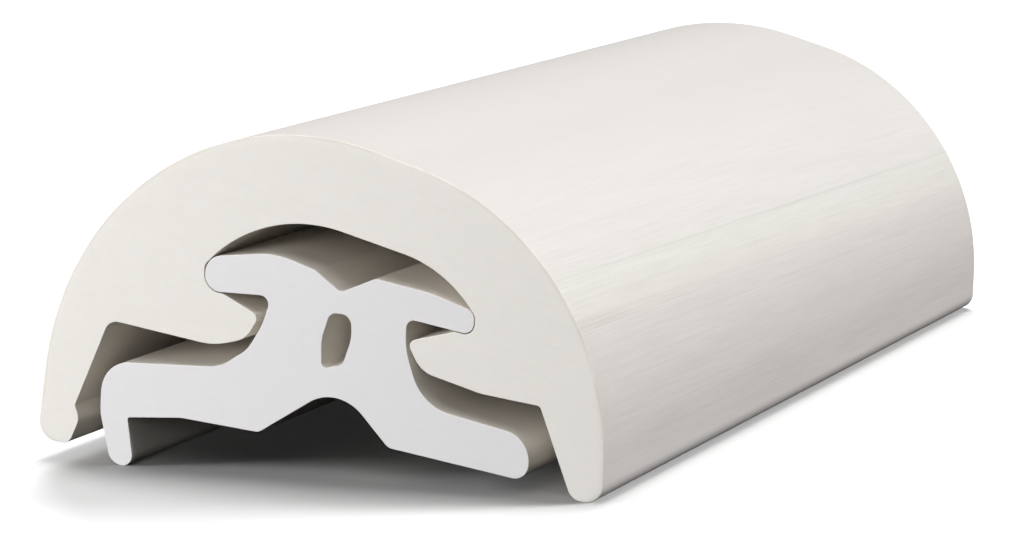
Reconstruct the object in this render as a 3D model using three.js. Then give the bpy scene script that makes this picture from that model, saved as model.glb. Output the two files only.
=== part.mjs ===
// A short sample of a D-section fender rail: a rigid base rail with a flexible cover clipped over its head.
// The section is drawn upright, in millimetres, with x across from the middle of the neck and z up from
// the seat of the base rail. Left and right are as seen at the near cut end.
import * as THREE from 'three';

// Sizes of the whole sample
const sampleLength = 111;
const seatClearance = 0.12;
const arcDivisions = 6;

// Sizes of the base rail's left leg and its lip
const leftLegReach = 27.2;
const leftLegHeight = 6.05;
const leftLegFall = 1.6;
const leftShoulderRadius = 3.6;
const leftSeatWidth = 9.2;
const leftSeatRelief = 1;
const lipDepth = 6.22;
const lipWidth = 2.8;
const lipInset = 1.45;
const lipTaper = 0.95;
const lipBendDrop = 1;
const lipBendRadius = 6;
const lipOuterRadius = 1.6;
const lipInnerRadius = 1.2;
const recessRadius = 0.3;

// Sizes of the base rail's right leg
const rightLegReach = 22.1;
const rightLegHeight = 5.75;
const rightLegFall = 1.3;
const rightShoulderRadius = 2.9;
const rightSeatRelief = 0.85;
const rightToeRadius = 1.6;

// Sizes of the base rail's arch and neck
const archHeight = 6.35;
const archCentre = 0.6;
const archRadius = 4.8;
const archFootLeft = 8.3;
const archFootRight = 6.55;
const archFootRadius = 1.3;
const flareLeft = 5.7;
const flareRight = 2.2;
const flareRadiusLeft = 5;
const flareRadiusRight = 5;
const flareWaist = 2.5;
const flareWaistDrop = 5.9;
const flareWaistRadius = 4;
const neckLeft = 7.5;
const neckRight = 7.9;
const neckStraight = 3.1;
const neckLeanLeft = 0.9;
const neckBendRadius = 8;
const neckCornerRadius = 0.9;

// Sizes of the base rail's head, with its notch and its slot
const headLevel = 14.3;
const headHalfWidth = 15.3;
const headDraft = 0.6;
const crestRiseLeft = 4.45;
const crestRiseRight = 3.5;
const crestLeft = 7.3;
const crestRight = 4.2;
const crestRadiusLeft = 10;
const crestRadiusRight = 1.2;
const browRight = 10.5;
const browFall = 0.55;
const browRadius = 12;
const tipThicknessLeft = 3.6;
const tipThicknessRight = 2.35;
const tipRadiusLeft = 1.7;
const tipShoulderRadiusLeft = 2.1;
const tipRadiusRight = 1.1;
const notchCentre = 0.35;
const notchHalfWidth = 3.05;
const notchDepthRight = 1.95;
const notchBrowFall = 1.05;
const notchRadius = 0.8;
const slotWidth = 3.05;
const slotCentre = 0.1;
const slotTaper = 0.7;
const slotBulgeLeft = 0.15;
const slotBulgeRight = 0.25;
const slotBulgeRadius = 5;
const slotRadius = 1.1;
const slotHeelRadius = 0.55;
const wallUnderSlot = 1.4;
const wallOverSlot = 2.2;

// Sizes of the cover's skirts and feet
const skirtGapLeft = 3.15;
const skirtGapRight = 4.8;
const skirtThicknessLeft = 4.5;
const skirtThicknessRight = 3.35;
const innerDraftLeft = 3.85;
const innerDraftRight = 3.95;
const shoulderGapLeft = 4.53;
const shoulderGapRight = 3.35;
const innerShoulderRadiusLeft = 1.6;
const innerShoulderRadiusRight = 0.5;
const footDepthLeft = 5;
const footDepthRight = 0.99;
const footRadiusLeft = 2.1;
const footRadiusRight = 1.9;
const toeRadiusLeft = 1.2;
const toeRadiusRight = 1.6;
const beadHeight = 4.25;
const beadCrest = 2.85;
const beadBulge = 0.6;
const beadRadius = 1.6;
const beadNubRadius = 0.3;

// Sizes of the cover's hooks, dome and crown
const channelGapLeft = 2.15;
const channelGapRight = 2.25;
const hookRootLeft = 6.5;
const hookRootRight = 8.6;
const hookRootRadius = 8;
const hookFlankLeft = 2.8;
const hookFlankRight = 1.9;
const hookFlankRise = 1.2;
const hookFlankRadius = 3;
const hookGapLeft = 1.3;
const hookGapRight = 0.12;
const hookTipDrop = 2.3;
const hookTipRadius = 0.7;
const hookSeatWidth = 2.1;
const socketFallLeft = 0.9;
const socketFallRight = 0.45;
const socketRadius = 1;
const domeGapLeft = 4.85;
const domeGapRight = 2.05;
const domeLeft = 8.9;
const domeRight = 12.1;
const domeRadiusLeft = 17;
const domeRadiusRight = 13.5;
const crownThickness = 7.75;
const crownFall = 12.4;
const crownInsetLeft = 4.15;
const crownInsetRight = 1;
const crownRadiusLeft = 31.3;
const crownRadiusRight = 27.45;

// Levels of the base rail that the cover's own levels follow
const leftShoulderLevel = leftLegHeight - leftLegFall;
const rightShoulderLevel = rightLegHeight - rightLegFall;
const tipLevel = headLevel - headDraft;
const tipTopLeft = tipLevel + tipThicknessLeft;
const tipTopRight = tipLevel + tipThicknessRight;
const crestLevelLeft = headLevel + crestRiseLeft;
const crestLevelRight = headLevel + crestRiseRight;

// Draws a closed outline through corners [x, z, radius], each rounded by an arc that meets both its sides.
// Where the arcs at the two ends of a side need more than the side has, both are made smaller in proportion.
function drawOutline(path, corners) {
  const usableShare = 0.99;
  const count = corners.length;
  const points = corners.map(([x, z]) => new THREE.Vector2(x, z));
  const sides = points.map((point, i) => points[(i + 1) % count].clone().sub(point));
  const turns = sides.map((side, i) => {
    const before = sides[(i + count - 1) % count];
    return Math.atan2(before.cross(side), before.dot(side));
  });
  const reaches = corners.map(([, , radius], i) => radius * Math.abs(Math.tan(turns[i] / 2)));
  const shares = sides.map((side, i) => {
    const needed = reaches[i] + reaches[(i + 1) % count];
    return Math.min(1, usableShare * side.length() / needed);
  });
  corners.forEach(([, , radius], i) => {
    const before = (i + count - 1) % count;
    const share = Math.min(shares[before], shares[i]);
    const along = sides[before].clone().normalize();
    const inward = new THREE.Vector2(-along.y, along.x).multiplyScalar(Math.sign(turns[i]));
    const centre = points[i].clone()
      .addScaledVector(along, -reaches[i] * share)
      .addScaledVector(inward, radius * share);
    const start = Math.atan2(-inward.y, -inward.x);
    path.absarc(centre.x, centre.y, radius * share, start, start + turns[i], turns[i] < 0);
  });
  path.closePath();
  return path;
}

// Level of the underside of the head at a distance from the middle of the neck.
function headUnderside(distance, neck) {
  return headLevel - headDraft * (distance - neck) / (headHalfWidth - neck);
}

// Section of the base rail, from the left tip of the head over the notch, down the right leg and back
// under the arch and the left leg.
function baseRailShape() {
  const notchFloor = crestLevelRight - notchDepthRight;
  const lipOuter = leftLegReach - lipInset;
  const shape = drawOutline(new THREE.Shape(), [
    [-headHalfWidth, tipLevel, tipRadiusLeft],
    [-headHalfWidth, tipTopLeft, tipShoulderRadiusLeft],
    [-crestLeft, crestLevelLeft, crestRadiusLeft],
    [notchCentre - notchHalfWidth, crestLevelLeft - notchBrowFall, notchRadius],
    [notchCentre, notchFloor, notchRadius],
    [crestRight, crestLevelRight, crestRadiusRight],
    [browRight, crestLevelRight - browFall, browRadius],
    [headHalfWidth, tipTopRight, tipRadiusRight],
    [headHalfWidth, tipLevel, tipRadiusRight],
    [neckRight, headLevel, neckCornerRadius],
    [neckRight, headLevel - neckStraight, neckBendRadius],
    [neckRight + flareRight, rightLegHeight, flareRadiusRight],
    [rightLegReach, rightShoulderLevel, rightShoulderRadius],
    [rightLegReach, 0, rightToeRadius],
    [archFootRight, rightSeatRelief, archFootRadius],
    [archCentre, archHeight, archRadius],
    [-archFootLeft, 0, archFootRadius],
    [-archFootLeft - leftSeatWidth, 0, archRadius],
    [-lipOuter + lipWidth - lipTaper, -leftSeatRelief, recessRadius],
    [-lipOuter + lipWidth, -lipDepth, lipInnerRadius],
    [-lipOuter, -lipDepth, lipOuterRadius],
    [-leftLegReach, -lipBendDrop, lipBendRadius],
    [-leftLegReach, leftShoulderLevel, leftShoulderRadius],
    [-neckLeft - flareLeft, leftLegHeight, flareRadiusLeft],
    [-neckLeft - flareWaist, headLevel - flareWaistDrop, flareWaistRadius],
    [-neckLeft - neckLeanLeft, headLevel - neckStraight, neckBendRadius],
    [-neckLeft, headLevel, neckCornerRadius],
  ]);
  const slotFloor = archHeight + wallUnderSlot;
  const slotTop = notchFloor - wallOverSlot;
  const slotMiddle = (slotFloor + slotTop) / 2;
  const slotLeft = slotCentre - slotWidth / 2;
  const slotRight = slotCentre + slotWidth / 2;
  const slot = drawOutline(new THREE.Path(), [
    [slotLeft, slotFloor, slotHeelRadius],
    [slotRight - slotTaper, slotFloor + slotTaper, slotRadius],
    [slotRight + slotBulgeRight, slotMiddle + slotTaper, slotBulgeRadius],
    [slotRight, slotTop, slotRadius],
    [slotLeft + slotTaper, slotTop, slotRadius],
    [slotLeft - slotBulgeLeft, slotMiddle, slotBulgeRadius],
  ]);
  shape.holes.push(slot);
  return shape;
}

// Section of the cover, from its left foot over the crown to its right foot, then back round the right
// hook, the dome over the head and the left hook.
function coverShape() {
  const innerLeft = leftLegReach + skirtGapLeft;
  const innerRight = rightLegReach + skirtGapRight;
  const outerLeft = innerLeft + skirtThicknessLeft;
  const outerRight = innerRight + skirtThicknessRight;
  const hookRootLevelLeft = leftLegHeight + channelGapLeft;
  const hookRootLevelRight = rightLegHeight + channelGapRight;
  const domeLevelLeft = crestLevelLeft + domeGapLeft;
  const domeLevelRight = crestLevelRight + domeGapRight;
  const crownLevel = domeLevelLeft + crownThickness;
  const socketHalfWidth = headHalfWidth + seatClearance;
  const seatInner = headHalfWidth - hookSeatWidth;
  return drawOutline(new THREE.Shape(), [
    [-outerLeft, -footDepthLeft, footRadiusLeft],
    [-outerLeft + crownInsetLeft, crownLevel + crownFall / 2, crownRadiusLeft],
    [outerRight - crownInsetRight, crownLevel - crownFall / 2, crownRadiusRight],
    [outerRight, -footDepthRight, footRadiusRight],
    [innerRight, -footDepthRight, toeRadiusRight],
    [innerRight - innerDraftRight, rightShoulderLevel + shoulderGapRight, innerShoulderRadiusRight],
    [neckRight + hookRootRight, hookRootLevelRight, hookRootRadius],
    [neckRight + hookFlankRight, hookRootLevelRight + hookFlankRise, hookFlankRadius],
    [neckRight + hookGapRight, headLevel - hookTipDrop, hookTipRadius],
    [seatInner, headUnderside(seatInner, neckRight) - seatClearance, socketRadius],
    [socketHalfWidth, tipLevel - seatClearance, tipRadiusRight + seatClearance],
    [socketHalfWidth, tipTopRight - socketFallRight, socketRadius],
    [domeRight, domeLevelRight, domeRadiusRight],
    [-domeLeft, domeLevelLeft, domeRadiusLeft],
    [-socketHalfWidth, tipTopLeft - socketFallLeft, socketRadius],
    [-socketHalfWidth, tipLevel - seatClearance, tipRadiusLeft + seatClearance],
    [-seatInner, headUnderside(seatInner, neckLeft) - seatClearance, socketRadius],
    [-neckLeft - hookGapLeft, headLevel - hookTipDrop, hookTipRadius],
    [-neckLeft - hookFlankLeft, hookRootLevelLeft + hookFlankRise, hookFlankRadius],
    [-neckLeft - hookRootLeft, hookRootLevelLeft, hookRootRadius],
    [-innerLeft + innerDraftLeft, leftShoulderLevel + shoulderGapLeft, innerShoulderRadiusLeft],
    [-innerLeft, beadHeight - footDepthLeft, beadNubRadius],
    [-innerLeft + beadBulge, beadCrest - footDepthLeft, beadRadius],
    [-innerLeft - beadBulge, -footDepthLeft, toeRadiusLeft],
  ]);
}

// Extrudes a section along the sample, with x across, y along and z up.
function extrudeSection(name, shape, colour, roughness) {
  const geometry = new THREE.ExtrudeGeometry(shape, {
    depth: sampleLength,
    steps: 1,
    bevelEnabled: false,
    curveSegments: arcDivisions,
  });
  geometry.rotateX(Math.PI / 2);
  geometry.translate(0, sampleLength / 2, 0);
  const material = new THREE.MeshStandardMaterial({ color: colour, roughness, metalness: 0 });
  const mesh = new THREE.Mesh(geometry, material);
  mesh.name = name;
  return mesh;
}

// Angle at which the section stands by itself, on its lowest point left of the neck and its lowest point
// right of it. Each pass levels the two points that the last one found.
function restingLean(points) {
  const passes = 6;
  let lean = 0;
  for (let pass = 0; pass < passes; pass += 1) {
    const height = (point) => point.y * Math.cos(lean) - point.x * Math.sin(lean);
    const lowest = (side) => points
      .filter((point) => Math.sign(point.x) === side)
      .reduce((low, point) => (height(point) < height(low) ? point : low));
    const span = lowest(1).clone().sub(lowest(-1));
    lean = Math.atan2(span.y, span.x);
  }
  return lean;
}

const baseRail = baseRailShape();
const cover = coverShape();
const sectionPoints = [...baseRail.getPoints(arcDivisions), ...cover.getPoints(arcDivisions)];

const sample = new THREE.Group();
sample.add(extrudeSection('base_rail', baseRail, 0xe3e1e2, 0.45));
sample.add(extrudeSection('cover', cover, 0xe9e5df, 0.55));
sample.rotation.y = restingLean(sectionPoints);

// The sample stands on the floor with its box centred over the origin.
const box = new THREE.Box3().setFromObject(sample, true);
sample.position.set(-(box.min.x + box.max.x) / 2, 0, -box.min.z);
sample.updateMatrixWorld(true);

export default sample;
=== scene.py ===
import bpy
import numpy as np
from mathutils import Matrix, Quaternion, Vector
from mathutils.geometry import tessellate_polygon


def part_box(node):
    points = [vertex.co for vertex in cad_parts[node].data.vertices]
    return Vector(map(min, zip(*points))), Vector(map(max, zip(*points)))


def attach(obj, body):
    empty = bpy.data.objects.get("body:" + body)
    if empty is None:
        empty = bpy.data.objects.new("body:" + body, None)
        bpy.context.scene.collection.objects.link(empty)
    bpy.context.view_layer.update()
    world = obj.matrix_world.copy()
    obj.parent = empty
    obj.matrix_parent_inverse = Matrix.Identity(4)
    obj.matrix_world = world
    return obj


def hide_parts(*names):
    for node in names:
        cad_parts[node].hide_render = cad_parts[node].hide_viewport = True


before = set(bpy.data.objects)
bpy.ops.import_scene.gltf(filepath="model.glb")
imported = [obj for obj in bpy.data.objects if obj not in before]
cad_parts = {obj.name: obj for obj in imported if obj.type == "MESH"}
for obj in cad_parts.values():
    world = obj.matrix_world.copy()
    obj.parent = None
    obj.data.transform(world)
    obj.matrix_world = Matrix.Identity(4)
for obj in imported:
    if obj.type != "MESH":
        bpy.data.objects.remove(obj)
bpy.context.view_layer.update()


# Base rail. The stiff half of the fender, screwed to the hull, which holds the cover by its head.
# It is extruded in rigid white PVC with a slot in the neck to save plastic, and cut with a fine
# saw, so its two ends are flat and matt and its other faces carry the faint lines of the die.
mm = 0.001


def cut_outlines(node):
    """The closed outlines of a node's near cut end, as arrays of (x, z), the longest first.

    The cut end is made of the triangles whose corners all lie at the node's lowest y. A triangle
    side that no other triangle runs back along lies on an outline, and has the material on its
    left. The sides are put end to end by doubling: with m sides in order and a table that jumps m
    sides on, the next m sides are the jumps from the first m. Corners that agree to a tenth of a
    micrometre are one point.
    """
    decimals = 7
    mesh = node.data
    corners = np.empty(len(mesh.vertices) * 3, np.float32)
    mesh.vertices.foreach_get("co", corners)
    triangles = np.empty(len(mesh.loops), np.int32)
    mesh.loops.foreach_get("vertex_index", triangles)
    loose = corners.reshape(-1, 3)[triangles].round(decimals)
    points, number = np.unique(loose, axis=0, return_inverse=True)
    number = number.reshape(-1, 3)
    number = number[(points[number][:, :, 1] <= points[:, 1].min()).all(axis=1)]
    starts, ends = number.ravel(), np.roll(number, -1, axis=1).ravel()
    outer = ~np.isin(starts * len(points) + ends, ends * len(points) + starts)
    starts, ends = starts[outer], ends[outer]
    by_start = np.argsort(starts)
    follow = by_start[np.searchsorted(starts[by_start], ends)]
    outlines, unused = [], np.ones(len(starts), bool)
    while unused.any():
        order, jump = np.flatnonzero(unused)[:1], follow
        while not (order[1:] == order[0]).any():
            order, jump = np.concatenate([order, jump[order]]), jump[jump]
        order = order[:1 + np.argmax(order[1:] == order[0])]
        unused[order] = False
        outlines.append(points[starts[order]][:, [0, 2]].astype(float))
    return sorted(outlines, key=len, reverse=True)


def rounded(outline, step):
    """The outline in sides of at most `step`, with the facets of its arcs bent back to true curves.

    Two neighbouring sides of nearly one length are facets of one arc, and each turns by the angle
    between them. Such a side is drawn as a parabola over its chord. Its height is half the chord
    times the tangent of a quarter of that angle. Any other side stays straight.
    """
    nearly = 0.02
    side = np.roll(outline, -1, axis=0) - outline
    length = np.linalg.norm(side, axis=1)
    before = np.roll(side, 1, axis=0)
    cross = before[:, 0] * side[:, 1] - before[:, 1] * side[:, 0]
    turn = np.arctan2(cross, (before * side).sum(axis=1))
    alike = np.abs(length - np.roll(length, 1)) < nearly * length
    bend = np.where(alike, turn, np.where(np.roll(alike, -1), np.roll(turn, -1), 0))
    pieces = np.ceil(length / step).astype(int)
    owner = np.repeat(np.arange(len(outline)), pieces)
    share = ((np.arange(len(owner)) - (np.cumsum(pieces) - pieces)[owner]) / pieces[owner])[:, None]
    outward = np.stack([side[:, 1], -side[:, 0]], axis=1)
    height = (np.tan(bend / 4) / 2)[:, None]
    bow = (outward * height)[owner] * 4 * share * (1 - share)
    return outline[owner] + side[owner] * share + bow


def cut_face(outlines):
    """Triangles that fill the outlines, each as three places in the list of all their points.

    A triangle whose first two sides turn clockwise is taken backwards, so that all of them run
    the same way round.
    """
    rings = [[Vector((x, z, 0)) for x, z in outline] for outline in outlines]
    triangles = np.array(tessellate_polygon(rings))
    corner = np.concatenate(outlines)[triangles]
    one, two = corner[:, 1] - corner[:, 0], corner[:, 2] - corner[:, 0]
    clockwise = one[:, 0] * two[:, 1] - one[:, 1] * two[:, 0] < 0
    return np.where(clockwise[:, None], triangles[:, ::-1], triangles)


def sawn_length(name, node, exposed):
    """A piece carried straight along y between its two sawn ends, as a closed mesh at the origin.

    The section is the node's own outline, and `exposed` tells how far each place (x, z) of it lies
    outside, from 0 in a hollow to 1. At every station the section stands `back` short of the end
    and is drawn in by `inset`. The first station bounds a rim on the sawn face, the next ones
    follow the quarter circle of the cut edge, and one more holds the wall straight behind it. The
    other stations are evenly spaced along the wall, and the far end mirrors the near one.
    Attribute sawn is 1 on the ends and 0 on the walls, rim grows from 0 to 1 across the rim, and
    exposed is as given.
    """
    step, reach, arc_steps = 0.5 * mm, 2.5 * mm, 5
    hidden_radius, shown_radius = 0.04 * mm, 0.08 * mm
    hidden_rim, shown_rim = 0.04 * mm, 0.6 * mm
    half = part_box(node)[1].y
    quarter = np.linspace(np.pi / 2, 0, arc_steps)[:, None]
    between = np.linspace(-1, 1, int(2 * half / reach))[:, None] * (half - reach)
    end_sawn = np.concatenate([[1], np.sin(quarter[:, 0]), [0]])
    end_rim = np.concatenate([[0], np.ones(arc_steps), [0]])
    sawn = np.concatenate([end_sawn, np.zeros(len(between)), end_sawn[::-1]])
    rim = np.concatenate([end_rim, np.zeros(len(between)), end_rim[::-1]])
    stations, first = len(sawn), 0
    points, quads, near, far, rims, marks = [], [], [], [], [], []
    for outline in cut_outlines(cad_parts[node]):
        section = rounded(outline, step)
        along = np.roll(section, -1, axis=0) - np.roll(section, 1, axis=0)
        along = along / np.linalg.norm(along, axis=1)[:, None]
        outward = np.stack([along[:, 1], -along[:, 0]], axis=1)
        shown = exposed(section)
        radius = (hidden_radius + (shown_radius - hidden_radius) * shown)[None]
        rim_width = (hidden_rim + (shown_rim - hidden_rim) * shown)[None]
        inset = np.concatenate([radius + rim_width, radius * (1 - np.cos(quarter)), 0 * radius])
        back = np.concatenate([0 * radius, radius * (1 - np.sin(quarter)), 2 * radius])
        y = np.concatenate([back - half, between + 0 * radius, half - back[::-1]])
        drawn = np.concatenate([inset, 0 * between * radius, inset[::-1]])[:, :, None]
        place = section[None] - outward[None] * drawn
        grid = np.stack([place[:, :, 0], y, place[:, :, 1]], axis=2)
        count = len(section)
        row = first + np.arange(stations - 1)[:, None] * count
        here, onward = row + np.arange(count), row + (np.arange(count) + 1) % count
        quads.append(np.stack([here, here + count, onward + count, onward], axis=2).reshape(-1, 4))
        near.append(first + np.arange(count))
        far.append(near[-1] + count * (stations - 1))
        rims.append(place[0])
        across_ends = [np.repeat(sawn, count), np.repeat(rim, count)]
        marks.append(np.stack([*across_ends, np.tile(shown, stations)]))
        points.append(grid.reshape(-1, 3))
        first += stations * count
    walls, triangles = np.concatenate(quads).tolist(), cut_face(rims)
    near_face = np.concatenate(near)[triangles].tolist()
    far_face = np.concatenate(far)[triangles[:, ::-1]].tolist()
    mesh = bpy.data.meshes.new(name)
    mesh.from_pydata(np.concatenate(points).tolist(), [], walls + near_face + far_face)
    mesh.polygons.foreach_set("use_smooth", np.arange(len(mesh.polygons)) < len(walls))
    for label, values in zip(["sawn", "rim", "exposed"], np.concatenate(marks, axis=1)):
        mesh.attributes.new(label, "FLOAT", "POINT").data.foreach_set("value", values)
    mesh.update()
    piece = bpy.data.objects.new(name, mesh)
    bpy.context.scene.collection.objects.link(piece)
    return piece


def add_node(tree, kind, inputs=(), **settings):
    """A new shader node, with a value or a link from another node for each listed input."""
    node = tree.nodes.new(kind)
    for name, value in settings.items():
        setattr(node, name, value)
    for name, value in dict(inputs).items():
        if isinstance(value, bpy.types.NodeSocket):
            tree.links.new(value, node.inputs[name])
        else:
            node.inputs[name].default_value = value
    return node


def calculate(tree, operation, *values):
    """The output of a maths node that works on the given numbers or sockets."""
    return add_node(tree, "ShaderNodeMath", enumerate(values), operation=operation).outputs[0]


def weigh(tree, parts, start=0.0):
    """The sum of the values in parts, each times its weight, on top of start."""
    total = start
    for value, weight in parts:
        total = calculate(tree, "MULTIPLY_ADD", value, weight, total)
    return total


def attribute(tree, name):
    """The number that the mesh keeps under this name."""
    return add_node(tree, "ShaderNodeAttribute", attribute_name=name).outputs["Fac"]


def grain(tree, where, size, detail=3.0):
    """Noise between 0 and 1 whose blotches measure `size` along the three axes of `where`."""
    scaled = add_node(tree, "ShaderNodeMapping", {"Vector": where, "Scale": [1 / s for s in size]})
    noise = {"Vector": scaled.outputs[0], "Scale": 1.0, "Detail": detail, "Roughness": 0.55}
    return add_node(tree, "ShaderNodeTexNoise", noise).outputs["Fac"]


def ease(tree, value, low, high, start=0.0, end=1.0):
    """Goes smoothly from start to end as the value goes from low to high, and stays put beyond."""
    inputs = {"Value": value, "From Min": low, "From Max": high, "To Min": start, "To Max": end}
    return add_node(tree, "ShaderNodeMapRange", inputs, interpolation_type="SMOOTHSTEP").outputs[0]


def blend(tree, share, first, second, blend_type="MIX"):
    """The colour that goes from first to second as share goes from 0 to 1."""
    inputs = {0: share, 6: first, 7: second}
    mix = add_node(tree, "ShaderNodeMix", inputs, data_type="RGBA", blend_type=blend_type)
    return mix.outputs[2]


def drawn_wall(tree, where, light, dark):
    """Colour and height of a wall as the die left it: soft strokes, fine lines and speckles."""
    strokes = grain(tree, where, (6 * mm, 120 * mm, 6 * mm))
    lines = grain(tree, where, (0.35 * mm, 60 * mm, 0.35 * mm), 2.0)
    speckles = grain(tree, where, (0.5 * mm, 1.2 * mm, 0.5 * mm), 2.0)
    share = weigh(tree, [(strokes, 0.4), (lines, 0.35), (speckles, 0.25)])
    return blend(tree, share, light, dark), lines


def white_pvc(name, wall, face_light, face_dark, edge, roughness, glow):
    """White PVC with two finishes, told apart by the attribute sawn.

    A wall has the colour and height that the function `wall` builds. A sawn face goes from light
    to dark in small mottles and in faint strokes of the saw, has the strokes as its bump, and is
    rougher than a wall. An exposed rim turns towards the colour `edge`, a painted shade that is
    darker and tan, most on the cut edge itself and more in some places than in others.
    """
    saw_tilt = (0, np.radians(-17), 0)
    wall_relief, face_relief = 0.006 * mm, 0.008 * mm
    added_roughness = 0.2
    rim_shade_power = 3.0
    material = bpy.data.materials.new(name)
    material.use_nodes = True
    tree = material.node_tree
    shader = tree.nodes["Principled BSDF"]
    where = add_node(tree, "ShaderNodeTexCoord").outputs["Object"]
    sawn = attribute(tree, "sawn")
    wall_colour, wall_height = wall(tree, where)
    mottles = grain(tree, where, (1.4 * mm, 1.4 * mm, 1.1 * mm), 6.0)
    tilted = add_node(tree, "ShaderNodeMapping", {"Vector": where, "Rotation": saw_tilt}).outputs[0]
    strokes = grain(tree, tilted, (3.5 * mm, 1 * mm, 0.25 * mm), 3.0)
    share = weigh(tree, [(mottles, 0.5), (strokes, 0.5)])
    colour = blend(tree, sawn, wall_colour, blend(tree, share, face_light, face_dark))
    patches = ease(tree, grain(tree, where, (5 * mm, 5 * mm, 5 * mm), 1.0), 0.35, 0.6, 0.35)
    # Painted shade: the exposed rim darkens towards the tan colour `edge`, most at the cut edge.
    rim_shade = calculate(tree, "POWER", attribute(tree, "rim"), rim_shade_power)
    rim_shade = calculate(tree, "MULTIPLY", rim_shade, attribute(tree, "exposed"))
    rim_shade = calculate(tree, "MULTIPLY", rim_shade, patches)
    tree.links.new(blend(tree, rim_shade, colour, edge), shader.inputs["Base Color"])
    wall_bump = {"Height": wall_height, "Distance": wall_relief, "Strength": 1.0}
    face_bump = {"Height": strokes, "Distance": face_relief, "Strength": 1.0}
    wall_normal = add_node(tree, "ShaderNodeBump", wall_bump).outputs[0]
    face_normal = add_node(tree, "ShaderNodeBump", face_bump).outputs[0]
    normals = {0: sawn, 4: wall_normal, 5: face_normal}
    normal = add_node(tree, "ShaderNodeMix", normals, data_type="VECTOR").outputs[1]
    tree.links.new(normal, shader.inputs["Normal"])
    tree.links.new(weigh(tree, [(sawn, added_roughness)], roughness), shader.inputs["Roughness"])
    shader.inputs["IOR"].default_value = 1.53
    shader.inputs["Subsurface Weight"].default_value = glow
    shader.inputs["Subsurface Radius"].default_value = (1.0, 0.9, 0.75)
    shader.inputs["Subsurface Scale"].default_value = 1.0 * mm
    return material


wall_light, wall_dark = (0.83, 0.79, 0.725, 1), (0.77, 0.725, 0.66, 1)
base_rail = sawn_length("base_rail_pvc", "base_rail", lambda section: np.zeros(len(section)))
base_rail.data.materials.append(white_pvc(
    "rigid_pvc",
    wall=lambda tree, where: drawn_wall(tree, where, wall_light, wall_dark),
    face_light=(0.748, 0.736, 0.746, 1),
    face_dark=(0.69, 0.679, 0.688, 1),
    edge=(0.62, 0.59, 0.55, 1),
    roughness=0.42,
    glow=0.05,
))
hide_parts("base_rail")
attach(base_rail, "root")


# Cover. The flexible D-shaped half that takes the knocks. It is extruded in soft white PVC, pushed
# over the rail's head until its two hooks snap in under it, and sawn through with the rail. Its
# crown has slanting marks of the die and of handling and bands of painted light and shade, and
# its outer cut edge has a painted shade, darker and tan, on the rim of the sawn face.
crown_centre = (0.0, 2.5 * mm)
crown_inside, crown_outside = 29.5 * mm, 31.5 * mm


def on_crown(section):
    """How far each place lies on the crown: 0 inside one radius, eased up to 1 at another."""
    radius = np.hypot(section[:, 0] - crown_centre[0], section[:, 1] - crown_centre[1])
    share = np.clip((radius - crown_inside) / (crown_outside - crown_inside), 0, 1)
    return share * share * (3 - 2 * share)


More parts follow.
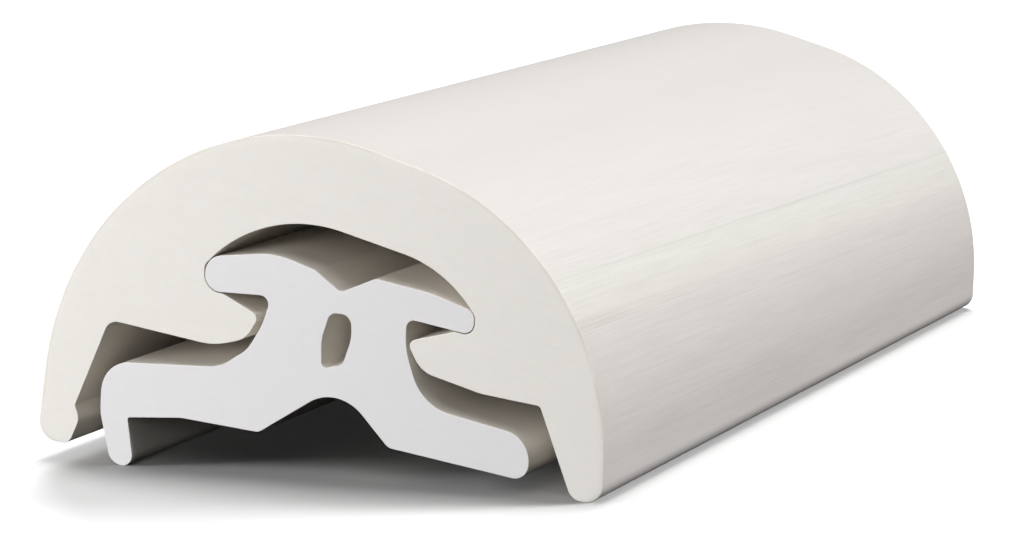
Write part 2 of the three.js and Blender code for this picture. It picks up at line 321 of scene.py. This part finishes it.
def cover_wall(tree, where):
    """Colour and height of the cover's walls: like the rail's in the hollows, marred on the crown.

    A place on the crown is told by its angle from the top, in degrees, less the slant that the
    marks gain along y. Its tone follows that angle through a few zones, which are painted light
    and shade: lighter from 51 to 62 degrees, darker near 30 degrees and from 66 to 75. Fine lines,
    short dashes, speckles and broad clouds are noise that is short across the angle and longer
    along y. They are faint near the top and strong low down. The scored lines lie at angles of
    their own and wander slowly. The lone ones fade and come back along y, and the comb of close
    ones is strongest at the near end.
    """
    slant = 0.037 / mm
    marred = (0.82, 0.812, 0.805, 1)
    lone_tint, comb_tint = (0.90, 0.905, 0.89, 1), (0.90, 0.86, 0.85, 1)
    usual_marring, usual_dulling = 0.65, 0.5
    # Painted light and shade round the crown: lighter from 51 to 62 degrees, darker near 30 degrees
    # and from 66 to 75 degrees.
    painted_light_and_shade_zones = [
        (0, (0.80, 0.77, 0.743, 1)),
        (30, (0.765, 0.737, 0.713, 1)),
        (51, (0.80, 0.775, 0.75, 1)),
        (58, (0.80, 0.78, 0.735, 1)),
        (62, (0.79, 0.765, 0.722, 1)),
        (66, (0.755, 0.718, 0.688, 1)),
        (75, (0.76, 0.722, 0.695, 1)),
        (90, (0.79, 0.75, 0.725, 1)),
    ]
    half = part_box("cover")[1].y
    x, y, z = add_node(tree, "ShaderNodeSeparateXYZ", {0: where}).outputs
    level = calculate(tree, "SUBTRACT", z, crown_centre[1])
    angle = calculate(tree, "DEGREES", calculate(tree, "ARCTAN2", x, level))
    askew = calculate(tree, "MULTIPLY", calculate(tree, "ADD", y, half), slant)
    angle = calculate(tree, "SUBTRACT", angle, askew)
    across = add_node(tree, "ShaderNodeCombineXYZ", {0: angle, 1: y}).outputs[0]
    lines = grain(tree, across, (0.6, 70 * mm, 1), 3.0)
    dashes = grain(tree, across, (0.45, 9 * mm, 1), 1.0)
    speckles = grain(tree, across, (0.4, 0.6 * mm, 1), 1.0)
    clouds = grain(tree, across, (4, 22 * mm, 1), 4.0)
    fading = grain(tree, across, (3, 22 * mm, 1), 1.0)
    wander = grain(tree, across, (20, 12 * mm, 1), 1.0)
    wandered = weigh(tree, [(wander, 0.5)], angle)

    def scored(marks, strength):
        """The sum of soft lines, each with its centre and half width in degrees and its depth."""
        total = 0.0
        for centre, width, depth in marks:
            off = calculate(tree, "ABSOLUTE", calculate(tree, "SUBTRACT", wandered, centre))
            total = calculate(tree, "ADD", ease(tree, off, 0.0, width, depth, 0.0), total)
        return calculate(tree, "MULTIPLY", total, strength)

    lone_marks = [
        (55.65, 0.5, 0.9), (56.3, 0.25, 0.3), (60.3, 0.3, 0.15),
        (68.3, 0.35, 0.5), (74.8, 0.5, 0.15),
    ]
    comb_marks = [
        (63.1, 0.12, 0.5), (63.45, 0.15, 0.9), (63.8, 0.12, 0.8), (64.25, 0.16, 1.0),
        (64.6, 0.12, 0.9), (65.05, 0.15, 0.8), (65.7, 0.12, 0.4),
    ]
    lone = scored(lone_marks, weigh(tree, [(fading, 0.9)], 0.3))
    comb = scored(comb_marks, ease(tree, y, -50 * mm, -5 * mm, 1.0, 0.1))
    ramp = add_node(tree, "ShaderNodeValToRGB", {0: calculate(tree, "DIVIDE", angle, painted_light_and_shade_zones[-1][0])})
    stops = ramp.color_ramp.elements
    stops.remove(stops[1])
    for number, (degrees, tone) in enumerate(painted_light_and_shade_zones):
        stop = stops.new(degrees / painted_light_and_shade_zones[-1][0]) if number else stops[0]
        stop.color = tone
    flaws = [(lines, 0.34), (dashes, 0.4), (speckles, 0.2), (clouds, 0.36)]
    marring = weigh(tree, flaws, -usual_marring)
    growth = ease(tree, angle, 25.0, 60.0, 0.45, 1.6)
    dulling = weigh(tree, [(marring, growth)], usual_dulling)
    crown = blend(tree, dulling, ramp.outputs[0], marred, "MULTIPLY")
    crown = blend(tree, lone, crown, lone_tint, "MULTIPLY")
    crown = blend(tree, comb, crown, comb_tint, "MULTIPLY")
    hollow, hollow_lines = drawn_wall(tree, where, wall_light, wall_dark)
    shown = attribute(tree, "exposed")
    height = calculate(tree, "SUBTRACT", lines, calculate(tree, "ADD", lone, comb))
    height = add_node(tree, "ShaderNodeMix", {0: shown, 2: hollow_lines, 3: height}).outputs[0]
    return blend(tree, shown, hollow, crown), height


cover = sawn_length("cover_pvc", "cover", on_crown)
cover.data.materials.append(white_pvc(
    "flexible_pvc",
    wall=cover_wall,
    face_light=(0.81, 0.785, 0.743, 1),
    face_dark=(0.73, 0.707, 0.67, 1),
    edge=(0.66, 0.615, 0.555, 1),
    roughness=0.5,
    glow=0.08,
))
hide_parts("cover")
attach(cover, "root")


# Floor. A plain pale sheet that the sample stands on, wide enough that no edge shows in the
# picture. It throws no light back at the sample, which is lit by the soft boxes alone.
floor_half = 6.0
floor_signs = [(-1, -1), (1, -1), (1, 1), (-1, 1)]
floor_corners = [(x * floor_half, y * floor_half, 0) for x, y in floor_signs]
floor_mesh = bpy.data.meshes.new("floor")
floor_mesh.from_pydata(floor_corners, [], [(0, 1, 2, 3)])
floor = bpy.data.objects.new("floor", floor_mesh)
floor.visible_diffuse = False
floor.visible_glossy = False
bpy.context.scene.collection.objects.link(floor)
floor_paint = bpy.data.materials.new("floor_paint")
floor_paint.use_nodes = True
floor_shader = floor_paint.node_tree.nodes["Principled BSDF"]
floor_shader.inputs["Base Color"].default_value = (0.5, 0.5, 0.5, 1)
floor_shader.inputs["Roughness"].default_value = 1.0
floor_shader.inputs["Specular IOR Level"].default_value = 0.0
floor_mesh.materials.append(floor_paint)


# Studio light. Soft boxes light the sample alone, from the front, from above and from behind. Suns
# light the floor alone, and leave it white round a soft shadow, which a last faint one that the
# sample doesn't block fills a little. The world is a white backdrop that gives no light.
sample_only = bpy.data.collections.new("lit_sample")
sample_only.objects.link(base_rail)
sample_only.objects.link(cover)
floor_only = bpy.data.collections.new("lit_floor")
floor_only.objects.link(floor)
box_aim = Vector((0, 0, 0.015))


def add_lamp(name, kind, place, facing, power, lit):
    """An unseen lamp at `place` that shines along `facing` and lights only what `lit` holds."""
    lamp = bpy.data.lights.new(name, kind)
    lamp.energy = power
    light = bpy.data.objects.new(name, lamp)
    light.location = place
    light.rotation_mode = "QUATERNION"
    light.rotation_quaternion = facing.to_track_quat("-Z", "Y")
    light.visible_camera = False
    bpy.context.scene.collection.objects.link(light)
    light.light_linking.receiver_collection = lit
    return light


for name, place, width, power in [
    ("front_left_box", Vector((-0.3, -0.3, 0.04)), 0.19, 1.2),
    ("front_low_box", Vector((-0.12, -0.42, 0.05)), 0.2, 0.75),
    ("front_right_box", Vector((0.2, -0.45, 0.1)), 0.2, 0.17),
    ("front_box", Vector((0.1, -0.5, 0.25)), 0.25, 0.3),
    ("front_top_box", Vector((0, -0.45, 0.9)), 0.5, 2.8),
    ("top_left_box", Vector((-0.5, 0, 0.9)), 0.5, 4.8),
    ("top_right_box", Vector((0.9, 0.1, 0.6)), 0.5, 11.0),
    ("back_low_box", Vector((-0.1, 1.0, 0.04)), 0.15, 5.0),
    ("back_right_box", Vector((0.4, 1.0, 0.15)), 0.5, 0.8),
]:
    softbox = add_lamp(name, "AREA", place, box_aim - place, power, sample_only)
    softbox.data.size = width

for name, facing, spread, power in [
    ("top_sun", Vector((0, -0.2, -1.0)), 20, 2.6),
    ("slanted_sun", Vector((0.3, -0.6, -1.0)), 40, 1.0),
    ("front_sun", Vector((-0.2, 0.9, -1.0)), 40, 0.35),
    ("back_left_sun", Vector((0.6, -1.0, -0.4)), 20, 7.0),
    ("left_sun", Vector((1, 0.4, -0.3)), 20, 2.6),
    ("right_sun", Vector((-1, -0.5, -0.4)), 20, 7.0),
]:
    sun = add_lamp(name, "SUN", (0, 0, 1), facing, power, floor_only)
    sun.data.angle = np.radians(spread)

fill_sun = add_lamp("fill_sun", "SUN", (0, 0, 1), Vector((0, 0, -1)), 0.22, floor_only)
fill_sun.data.angle = np.radians(20)
fill_sun.light_linking.blocker_collection = floor_only

world = bpy.data.worlds.new("studio")
bpy.context.scene.world = world
world.use_nodes = True
backdrop = world.node_tree.nodes["Background"]
seen = add_node(world.node_tree, "ShaderNodeLightPath").outputs["Is Camera Ray"]
backdrop_white = 1.2
strength = calculate(world.node_tree, "MULTIPLY", seen, backdrop_white)
world.node_tree.links.new(strength, backdrop.inputs["Strength"])
backdrop.inputs["Color"].default_value = (1, 1, 1, 1)
bpy.context.scene.view_settings.view_transform = "Standard"


# Camera. It stands to the right of the sample and a little above it, looks at the middle of its
# length, and is tipped slightly, as the photograph's was.
camera = bpy.data.cameras.new("camera")
camera.lens = 126.23
camera_place, camera_aim = Vector((0.174805, -0.36223, 0.079935)), Vector((-0.004515, 0, 0.012445))
camera_roll = -1.843
looking = (camera_aim - camera_place).to_track_quat("-Z", "Y")
camera_object = bpy.data.objects.new("camera", camera)
camera_object.location = camera_place
camera_object.rotation_mode = "QUATERNION"
camera_object.rotation_quaternion = looking @ Quaternion((0, 0, 1), np.radians(camera_roll))
bpy.context.scene.collection.objects.link(camera_object)
bpy.context.scene.camera = camera_object
